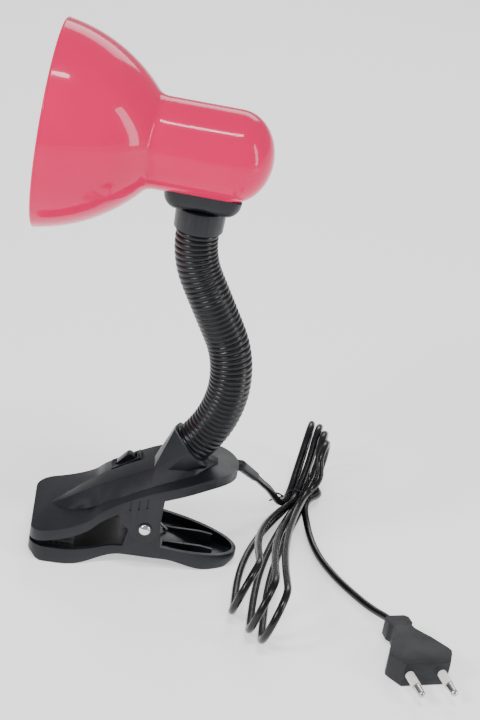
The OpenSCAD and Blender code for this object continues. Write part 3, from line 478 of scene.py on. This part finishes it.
class LAMP_OT_stage(bpy.types.Operator):
    """Pale floor, soft studio lights and the camera"""
    bl_idname = "lamp.stage"
    bl_label = "Stage"

    def softbox(self, name, at, width, height, power):
        """A soft rectangular light that faces the lamp."""
        light = bpy.data.lights.new(name, "AREA")
        light.shape = "RECTANGLE"
        light.size, light.size_y = width, height
        light.energy = power * bpy.context.scene.lamp_stage.light
        obj = bpy.data.objects.new(name, light)
        bpy.context.scene.collection.objects.link(obj)
        at = Vector(at)
        facing = (LIT - at).to_track_quat("-Z", "Y").to_matrix().to_4x4()
        obj.matrix_world = Matrix.Translation(at) @ facing

    def execute(self, context):
        stage = context.scene.lamp_stage
        bm = bmesh.new()
        bmesh.ops.create_grid(bm, x_segments=2, y_segments=2, size=FLOOR_HALF)
        mesh = bpy.data.meshes.new("floor")
        bm.to_mesh(mesh)
        bm.free()
        floor = put(mesh, "floor", "floor")
        floor.location = FLOOR_AT

        world = context.scene.world or bpy.data.worlds.new("Studio")
        context.scene.world = world
        world.use_nodes = True
        back = world.node_tree.nodes["Background"]
        back.inputs["Color"].default_value = (1.0, 1.0, 1.0, 1.0)
        back.inputs["Strength"].default_value = WORLD_LIGHT
        for name, box in SOFTBOXES.items():
            self.softbox(name, *box)

        turn, pitch, roll = (math.radians(a) for a in VIEW_ANGLES)
        ahead = Vector((math.sin(turn) * math.cos(pitch), math.cos(turn) * math.cos(pitch),
                        -math.sin(pitch)))
        level = Vector((math.cos(turn), -math.sin(turn), 0.0))
        over = level.cross(ahead)
        right = math.cos(roll) * level + math.sin(roll) * over
        up = math.cos(roll) * over - math.sin(roll) * level
        data = bpy.data.cameras.new("camera")
        data.lens = stage.lens
        camera = bpy.data.objects.new("camera", data)
        context.scene.collection.objects.link(camera)
        place = Matrix((right, up, -ahead)).transposed().to_4x4()
        place.translation = VIEW_TARGET - VIEW_DISTANCE * ahead
        camera.matrix_world = place
        context.scene.camera = camera
        return {"FINISHED"}


# ---- cord: places in millimetres, sizes of the bundle in cord diameters ----
CORD_STEP, CORD_EASE = 2.5 * MM, 6
# From the strain relief to the hank, and from the hank to the plug
LEAD = [(102.904, 15.658, 46.649), (105.44, 18.68, 43.57), (110, 27, 36), (116, 36, 27.5),
        (121.5, 45.5, 17), (126, 53.5, 9.5)]
TAIL = [(142.4, 46.5, 4.2), (144, 34, 2.5), (147, 18, 2.1), (152, 3, 2.1), (160, -13, 2.1),
        (170, -28, 2.1), (178, -39, 2.7), (184, -48, 5), (187.5, -56.5, 7)]
# Tie round the hank: its place, the hank's direction there and across it, what the tie lifts the
# strands off the floor, and how far they run straight on each side of it
HANK_TIE = Vector((136.8, 64.0, 0.0))
ALONG, ACROSS = Vector((0.295, 0.955, 0.0)), Vector((0.955, -0.295, 0.0))
TIE_LIFT, STRAIGHT = 1.2, 6.0
# The tie's own half width, half height and height of its middle, and its two loose ends
TIE_HALF_W, TIE_HALF_H, TIE_MIDDLE = 1.62, 1.47, 1.37
TIE_ENDS = ([(119.4, 71.9, 5.5), (122.5, 70.5, 6.0), (126.0, 67.5, 7.5)],
            [(127.0, 66.0, 6.0), (123.5, 67.0, 4.0), (121.0, 65.5, 3.0)])
# Strands where the tie holds them: across and up
STRANDS = [(-1.5, 1.37), (-1.0, 0.5), (-0.5, 1.37), (0.0, 0.5), (0.5, 1.37), (1.0, 0.5),
           (1.0, 2.24), (1.5, 1.37)]
# Ends of the loops on the floor, and how far the strands of each bow sideways
LOW_LOOPS = [(94.8, -70.0, -8.0), (104.5, -86.0, -5.5), (111.5, -94.5, -5.0)]
HIGH_LOOPS = [(143.5, 127.5, 0.0), (148.5, 125.0, 1.0), (151.5, 117.0, 3.0), (152.5, 105.0, 5.0)]
# How far the upper strand of a loop leans over at its end, and how high it rises
LOW_LEAN, HIGH_LEAN, RISE = 9.0, 2.0, 30.0


class LAMP_OT_cord(bpy.types.Operator):
    """Mains cord in one length: lead, tied hank and tail, with its tie and plug"""
    bl_idname = "lamp.cord"
    bl_label = "Mains cord"

    def execute(self, context):
        cord = context.scene.lamp_cord
        d = cord.diameter / MM
        rough = even(curved([p * MM for p in self.route(d)]), CORD_STEP)
        line = even(eased(rough, CORD_EASE), CORD_STEP)
        tube = wire(line, "mains_cord", cord.diameter / 2, "cord_vinyl", 5)
        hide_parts("cord_lead", "cord_hank", "cord_tail")
        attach(tube, "clip")
        plug = softened("plug_body", "plug_moulding", "plug_plastic", 1.6 * MM, 4)
        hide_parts("plug_body")
        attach(plug, "clip")
        tie = self.tie(d)
        return {"FINISHED"}

    def route(self, d):
        """Points of the cord from the strain relief to the plug, in millimetres."""
        def held(i, side):
            """Strand i where it runs into the tie's grip (side -1) or out of it (side 1)."""
            a, up = STRANDS[i]
            return (HANK_TIE + ACROSS * a * d + ALONG * STRAIGHT * side
                    + Vector((0, 0, up * d + TIE_LIFT)))
        points = [Vector(p) for p in LEAD] + [held(0, -1), held(0, 1)]
        for i, far_end in enumerate(HIGH_LOOPS):
            over, under = 2 * i, 2 * i + 1
            points += self.loop(held(over, 1), held(under, 1), far_end, HIGH_LEAN, d)
            points += [held(under, 1), held(under, -1)]
            if i == len(LOW_LOOPS):
                break
            back = self.loop(held(under + 1, -1), held(under, -1), LOW_LOOPS[i], LOW_LEAN, d)
            points += back[::-1] + [held(under + 1, -1), held(under + 1, 1)]
        return points + [Vector(p) for p in TAIL]

    def loop(self, upper, lower, end, lean, d):
        """Points of one loop: its upper strand from the tie, its end, its lower strand back."""
        out = Vector((end[0] - upper.x, end[1] - upper.y, 0)).normalized()
        side = Vector((lean / 2, 0, RISE / 2))
        radius = side.length
        up = side / radius
        centre = Vector((end[0], end[1], d / 2)) + side - out * radius
        away = upper - centre
        bearing = math.atan2(away.dot(up), away.dot(out)) % math.tau
        first = bearing - math.acos(radius / away.length)
        last = -math.pi / 2
        arc = [centre + radius * (up * math.sin(t) + out * math.cos(t))
               for t in (first + (last - first) * k / 9 for k in range(10))]
        bow = Vector((end[2], 0, 0))
        bowed = [(t, bow * math.sin(math.pi * t)) for t in (0.2, 0.4, 0.6, 0.8)]
        return ([upper.lerp(arc[0], t) + b for t, b in bowed] + arc
                + [arc[-1].lerp(lower, t) + b for t, b in bowed])

    def tie(self, d):
        """Twist tie round the bundle, with its two loose ends."""
        steps = 24
        turns = [math.tau * k / steps + math.pi + 0.1 for k in range(steps)]
        around = [HANK_TIE * MM + MM * (
                      ACROSS * (TIE_HALF_W * d * math.cos(t))
                      + Vector((0, 0, TIE_MIDDLE * d + TIE_LIFT + TIE_HALF_H * d * math.sin(t))))
                  for t in turns]
        first, last = ([Vector(p) * MM for p in end] for end in TIE_ENDS)
        ring = wire(first + around + last, "tie_band", 0.55 * MM, "neck_plastic", 3)
        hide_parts("cord_tie")
        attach(ring, "clip")
        return ring


# ---- shade and what is inside it ----
# Shade in millimetres: radii of its mouth and barrel, lengths of its bell, barrel and dome, and
# the radius of the bell's arc
MOUTH, BARREL, BELL, TUBE, DOME, BELL_ARC = 55.0, 24.5, 55.0, 42.0, 20.5, 86.0
FILLET_FROM, FILLET_TO = BELL - 1.6, BELL + 3.6         # small fillet from the bell to the barrel
# Head's axis over the neck, its turn, and the neck's distance behind the rim
HEAD_AT, HEAD_TURN, NECK_FROM_RIM = Vector((48.609, 0.0, 240.167)), math.radians(-5.0), 84.5
HEAD = (Matrix.Translation(HEAD_AT * MM) @ Matrix.Rotation(HEAD_TURN, 4, "Z")
        @ Matrix.Translation(Vector((-NECK_FROM_RIM, 0.0, 0.0)) * MM))
GLOBE_R, CAP_R = 22.5 * MM, 12.5 * MM           # bulb


class LAMP_OT_shade(bpy.types.Operator):
    """Spun metal shade with its rolled rim"""
    bl_idname = "lamp.shade"
    bl_label = "Shade"

    def outline(self, inset):
        """Points of the shade from mouth to dome, drawn in by inset, in millimetres."""
        half = math.asin(math.hypot(BELL, MOUTH - BARREL) / 2 / BELL_ARC)
        lean = math.atan2(MOUTH - BARREL, BELL)
        start = math.pi / 2 - (lean - half)
        cx, cr = -BELL_ARC * math.cos(start), MOUTH - BELL_ARC * math.sin(start)
        pts = []
        for k in range(41):
            x = FILLET_FROM * k / 40
            pts.append((x, cr + math.sqrt(BELL_ARC * BELL_ARC - (x - cx) ** 2) - inset))
        a, b, c = pts[-1], (BELL + 0.2, BARREL - inset + 0.15), (FILLET_TO, BARREL - inset)
        for t in (k / 6 for k in range(1, 7)):
            pts.append(tuple((1 - t) ** 2 * a[i] + 2 * t * (1 - t) * b[i] + t * t * c[i]
                             for i in (0, 1)))
        pts += [(BELL + TUBE * k / 4, BARREL - inset) for k in range(1, 4)]
        for t in (math.pi / 2 * (1 - k / 24) for k in range(25)):
            pts.append((BELL + TUBE + (DOME - inset) * math.cos(t),
                        max(0.0, (BARREL - inset) * math.sin(t))))
        pts[-1] = (pts[-1][0], 0.0)
        return pts

    def execute(self, context):
        shade = context.scene.lamp_shade
        wall, bead = shade.wall / MM, shade.bead / MM
        outer = self.outline(0.0)[1:]
        inner = self.outline(wall)[1:]
        rim = [(bead + bead * math.cos(t), MOUTH - bead + bead * math.sin(t))
               for t in (math.radians(a) for a in range(300, 75, -20))]
        profile = [(x * MM, r * MM) for x, r in rim + outer + inner[::-1]]
        piece = lathe(profile, HEAD, shade.around, "enamel_shade",
                      ("enamel_outside", "enamel_inside"), split=len(rim) + len(outer) - 1)
        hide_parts("shade")
        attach(piece, "head")
        return {"FINISHED"}


class LAMP_OT_bulb(bpy.types.Operator):
    """Bulb and lampholder inside the shade"""
    bl_idname = "lamp.bulb"
    bl_label = "Bulb and holder"

    def execute(self, context):
        low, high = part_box("bulb_glass")
        front, back = (HEAD.inverted() @ Vector((c[0], 0.0, HEAD_AT.z * MM)) for c in (low, high))
        centre = front.x + GLOBE_R + 0.4 * MM
        profile = [(centre - GLOBE_R * math.cos(a), GLOBE_R * math.sin(a))
                   for a in (math.radians(132) * k / 40 for k in range(41))]
        x0, r0 = profile[-1]
        for t in (k / 8 for k in range(1, 9)):
            profile.append((x0 + (back.x - 5 * MM - x0) * t,
                            r0 + (CAP_R - r0) * (1 - (1 - t) ** 2)))
        profile += [(back.x - 0.5 * MM, CAP_R), (back.x - 0.5 * MM, 0.0)]
        piece = lathe(profile, HEAD, 96, "bulb_globe", ("opal_glass",))
        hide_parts("bulb_glass")
        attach(piece, "head")
        holder = softened("lampholder", "ceramic_holder", "ceramic", 0.6 * MM)
        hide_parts("lampholder")
        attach(holder, "head")
        return {"FINISHED"}


# ---- neck ----
# Its centre line in millimetres and degrees: where it leaves the socket and how steeply, how deep
# it goes in, its lower curve, its straight run, its upper curve and its straight top
NECK_BASE, BASE_ANGLE, SOCKET_DEPTH = Vector((64.1, 0.0, 68.2)), 48.0, 5.8
LOW_BEND_R, LOW_BEND = 61.0, 71.5
NECK_RUN, TOP_BEND_R, NECK_TOP = 33.0, 54.0, 8.8
LINE_STEP = 0.5
SHEATH_SIDES = 56
RIB_ROUNDNESS = 2.6         # the higher, the broader a rib and the narrower a groove


def neck_line():
    """Centre line of the neck from inside the socket to inside the collar, in metres."""
    def heading(angle):
        return Vector((math.cos(math.radians(angle)), 0, math.sin(math.radians(angle))))

    def arc(centre, radius, a0, a1):
        count = max(2, int(abs(math.radians(a1 - a0)) * radius / LINE_STEP))
        turns = (math.radians(a0 + (a1 - a0) * k / count) for k in range(count + 1))
        return [Vector((centre.x + radius * math.cos(t), 0.0, centre.z + radius * math.sin(t)))
                for t in turns]

    def run(a, b):
        count = int((b - a).length / LINE_STEP)
        return [a.lerp(b, k / count) for k in range(count + 1)]
    steep = BASE_ANGLE + LOW_BEND
    along, up = heading(BASE_ANGLE), heading(steep)
    low = NECK_BASE + LOW_BEND_R * Vector((-along.z, 0, along.x))
    first = arc(low, LOW_BEND_R, BASE_ANGLE - 90.0, steep - 90.0)
    middle = first[-1] + NECK_RUN * up
    top = middle + TOP_BEND_R * Vector((up.z, 0, -up.x))
    second = arc(top, TOP_BEND_R, steep + 90.0, 180.0)
    last = second[-1] + Vector((0, 0, NECK_TOP))
    line = (run(NECK_BASE - SOCKET_DEPTH * along, NECK_BASE) + first[1:]
            + run(first[-1], middle)[1:] + second[1:] + run(second[-1], last)[1:])
    return [p * MM for p in line]


def rib_tree():
    """Geometry nodes that sweep a ribbed sheath along a curve."""
    tree = bpy.data.node_groups.new("Ribbed sheath", "GeometryNodeTree")
    face = tree.interface
    face.new_socket("Geometry", in_out="INPUT", socket_type="NodeSocketGeometry")
    for name in ("Radius", "Groove", "Rib Pitch"):
        face.new_socket(name, in_out="INPUT", socket_type="NodeSocketFloat")
    for name in ("Steps", "Sides"):
        face.new_socket(name, in_out="INPUT", socket_type="NodeSocketInt")
    face.new_socket("Material", in_out="INPUT", socket_type="NodeSocketMaterial")
    face.new_socket("Geometry", in_out="OUTPUT", socket_type="NodeSocketGeometry")
    new, link = tree.nodes.new, tree.links.new
    given, result = new("NodeGroupInput"), new("NodeGroupOutput")

    def maths(operation, a, b=None):
        node = new("ShaderNodeMath")
        node.operation = operation
        for socket, value in zip(node.inputs, (a, b)):
            if value is None:
                continue
            if isinstance(value, (int, float)):
                socket.default_value = value
            else:
                link(value, socket)
        return node.outputs[0]
    pitch = given.outputs["Rib Pitch"]
    resample = new("GeometryNodeResampleCurve")
    resample.mode = "LENGTH"
    link(given.outputs["Geometry"], resample.inputs["Curve"])
    link(maths("DIVIDE", pitch, given.outputs["Steps"]), resample.inputs["Length"])
    spline = new("GeometryNodeSplineParameter")
    phase = maths("FRACT", maths("ADD", maths("DIVIDE", spline.outputs["Length"], pitch), 1e-4))
    swing = maths("ABSOLUTE", maths("SUBTRACT", maths("MULTIPLY", phase, 2.0), 1.0))
    dip = maths("MULTIPLY", maths("POWER", swing, RIB_ROUNDNESS), given.outputs["Groove"])
    radius = maths("SUBTRACT", given.outputs["Radius"], dip)
    circle = new("GeometryNodeCurvePrimitiveCircle")
    circle.inputs["Radius"].default_value = 1.0
    link(given.outputs["Sides"], circle.inputs["Resolution"])
    sweep = new("GeometryNodeCurveToMesh")
    sweep.inputs["Fill Caps"].default_value = True
    link(resample.outputs["Curve"], sweep.inputs["Curve"])
    link(radius, sweep.inputs["Scale"])
    link(circle.outputs["Curve"], sweep.inputs["Profile Curve"])
    real = new("GeometryNodeRealizeInstances")
    link(sweep.outputs["Mesh"], real.inputs["Geometry"])
    paint = new("GeometryNodeSetMaterial")
    link(real.outputs["Geometry"], paint.inputs["Geometry"])
    link(given.outputs["Material"], paint.inputs["Material"])
    link(paint.outputs["Geometry"], result.inputs["Geometry"])
    return tree


def with_nodes(obj, tree, values):
    """Puts a geometry-nodes tree on an object, its inputs set by their identifiers."""
    modifier = obj.modifiers.new("Nodes", "NODES")
    modifier.node_group = tree
    for item in tree.interface.items_tree:
        if item.item_type == "SOCKET" and item.in_out == "INPUT" and item.name in values:
            modifier[item.identifier] = values[item.name]


class LAMP_OT_neck(bpy.types.Operator):
    """Ribbed sheath of the bendable neck, in three lengths along its centre line"""
    bl_idname = "lamp.neck"
    bl_label = "Neck"

    def execute(self, context):
        neck = context.scene.lamp_neck
        line = neck_line()
        spans = [0.0]
        for a, b in zip(line, line[1:]):
            spans.append(spans[-1] + (b - a).length)

        def nearest(p):
            return min(range(len(line)), key=lambda i: (line[i] - p).length)
        bends = [nearest(JOINTS[n]) for n in ("neck_bend_low", "neck_lean", "neck_nod")]
        ribs = [round((spans[a] + spans[b]) / 2 / neck.pitch) for a, b in zip(bends, bends[1:])]
        ribs += [math.floor(spans[-1] / neck.pitch)]
        cuts = [0.0] + [n * neck.pitch for n in ribs]

        def at(s):
            i = max(k for k in range(len(spans) - 1) if spans[k] <= s + 1e-9)
            return line[i].lerp(line[i + 1], (s - spans[i]) / (spans[i + 1] - spans[i]))
        tree = rib_tree()
        lengths = (("ribbed_neck_low", "clip", "neck_low",
                    ("neck_sheath_base", "neck_sheath_low")),
                   ("ribbed_neck_middle", "neck_low", "neck_high", ("neck_sheath_high",)),
                   ("ribbed_neck_top", "neck_high", "head", ("neck_sheath_top",)))
        for (name, below, above, nodes), i, s0, s1 in zip(lengths, bends, cuts, cuts[1:]):
            inside = [p for p, s in zip(line, spans) if s0 + 1e-5 < s < s1 - 1e-5]
            obj = wire([at(s0)] + inside + [at(s1)], name + "_path", 0.0, "neck_plastic")
            with_nodes(obj, tree, {"Radius": neck.radius, "Groove": neck.groove,
                                   "Rib Pitch": neck.pitch, "Steps": neck.steps,
                                   "Sides": SHEATH_SIDES, "Material": finish_of("neck_plastic")})
            piece = evaluated(obj, name, "neck_plastic")
            smooth(piece.data, 75.0)
            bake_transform(piece)
            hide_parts(*nodes)
        return {"FINISHED"}


# ---- clip, switch and saddle ----
class LAMP_OT_clip(bpy.types.Operator):
    """Moulded jaws, housing, grip pads and pivot of the clip"""
    bl_idname = "lamp.clip"
    bl_label = "Clip"

    def execute(self, context):
        clip = context.scene.lamp_clip
        parts = (("upper_jaw", "upper_moulding", "clip_plastic", clip.edge, "clip"),
                 ("lower_jaw", "lower_moulding", "clip_plastic", clip.edge, "lower_jaw"),
                 ("neck_housing", "ridge_moulding", "clip_plastic", clip.edge, "clip"),
                 ("upper_grip_pad", "upper_pad", "grip_rubber", clip.fine_edge, "clip"),
                 ("lower_grip_pad", "lower_pad", "grip_rubber", clip.fine_edge, "lower_jaw"),
                 ("cord_relief", "relief_boot", "clip_plastic", clip.fine_edge, "clip"),
                 ("pivot_pin", "rivet", "bright_steel", 0.12 * MM, "clip"))
        for node, name, material, edge, body in parts:
            piece = softened(node, name, material, edge)
            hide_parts(node)
            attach(piece, body)
        return {"FINISHED"}


class LAMP_OT_switch(bpy.types.Operator):
    """Rocker switch on the clip"""
    bl_idname = "lamp.switch"
    bl_label = "Switch"

    def execute(self, context):
        clip = context.scene.lamp_clip
        for node, name, body in (("switch_bezel", "switch_frame", "clip"),
                                 ("switch_rocker", "rocker_cap", "switch_rocker")):
            piece = softened(node, name, "switch_plastic", clip.fine_edge)
            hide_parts(node)
            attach(piece, body)
        return {"FINISHED"}


class LAMP_OT_saddle(bpy.types.Operator):
    """Saddle and collar that carry the shade"""
    bl_idname = "lamp.saddle"
    bl_label = "Saddle"

    def execute(self, context):
        edge = context.scene.lamp_clip.edge
        piece = softened("head_saddle", "saddle_moulding", "clip_plastic", edge)
        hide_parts("head_saddle")
        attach(piece, "head")
        return {"FINISHED"}


# ---- finishes on the construction's own pieces ----
CARRIED = {
    "switch_plastic": ("switch_body",),
    "neck_plastic": ("cord_tie", "neck_sheath_base", "neck_sheath_low", "neck_sheath_high",
                     "neck_sheath_top"),
    "clip_plastic": ("upper_jaw", "lower_jaw", "neck_housing", "switch_bezel", "switch_rocker",
                     "head_saddle", "cord_relief"),
    "grip_rubber": ("upper_grip_pad", "lower_grip_pad"),
    "plug_plastic": ("plug_body",),
    "sleeve_plastic": ("plug_pin_sleeves",),
    "pin_metal": ("plug_pins",),
    "wire_plastic": ("clip_wires", "head_wires"),
    "cord_vinyl": ("cord_lead", "cord_hank", "cord_tail"),
    "enamel_outside": ("shade",),
    "bright_steel": ("pivot_pin", "saddle_nut", "housing_screws", "holder_screw"),
    "black_steel": ("pin_washers",),
    "spring_steel": ("clip_spring", "spring_lower_leg", "holder_bracket", "neck_core_base",
                     "neck_core_low", "neck_core_high", "neck_core_top"),
    "brass": ("switch_terminals", "lampholder_shell", "lampholder_contact", "bulb_contact"),
    "ceramic": ("lampholder",),
    "opal_glass": ("bulb_glass",),
    "cap_aluminium": ("bulb_cap",),
}


class LAMP_OT_finishes(bpy.types.Operator):
    """Finishes of the construction's own pieces"""
    bl_idname = "lamp.finishes"
    bl_label = "Finishes"

    def execute(self, context):
        left = set(NODES)
        for material, nodes in CARRIED.items():
            for node in nodes:
                obj = NODES[node]
                if not obj.material_slots:
                    obj.data.materials.append(None)
                for slot in obj.material_slots:
                    slot.link = "OBJECT"
                    slot.material = finish_of(material)
                left.discard(node)
        if left:
            raise RuntimeError(f"no finish for {sorted(left)}")
        return {"FINISHED"}


class LAMP_PT_panel(bpy.types.Panel):
    """Lamp pieces and their sizes"""
    bl_idname = "LAMP_PT_panel"
    bl_label = "Clip-on lamp"
    bl_space_type = "VIEW_3D"
    bl_region_type = "UI"
    bl_category = "Lamp"

    def draw(self, context):
        for step in STEPS:
            self.layout.operator(step.bl_idname)
        for name, group in SETTINGS.items():
            box = self.layout.box()
            settings = getattr(context.scene, name)
            for prop in group.__annotations__:
                box.prop(settings, prop)


SETTINGS = {"lamp_shade": ShadeSettings, "lamp_neck": NeckSettings, "lamp_clip": ClipSettings,
            "lamp_cord": CordSettings, "lamp_stage": StageSettings}
STEPS = (LAMP_OT_stage, LAMP_OT_cord, LAMP_OT_shade, LAMP_OT_bulb, LAMP_OT_neck, LAMP_OT_clip,
         LAMP_OT_switch, LAMP_OT_saddle, LAMP_OT_finishes)
CLASSES = (*SETTINGS.values(), *STEPS, LAMP_PT_panel)


def register():
    for cls in CLASSES:
        bpy.utils.register_class(cls)
    for name, group in SETTINGS.items():
        setattr(bpy.types.Scene, name, PointerProperty(type=group))


def unregister():
    for name in SETTINGS:
        delattr(bpy.types.Scene, name)
    for cls in reversed(CLASSES):
        bpy.utils.unregister_class(cls)


def main():
    """Builds the lamp."""
    register()
    for step in STEPS:
        group, name = step.bl_idname.split(".")
        getattr(getattr(bpy.ops, group), name)()


if __name__ == "__main__":
    main()
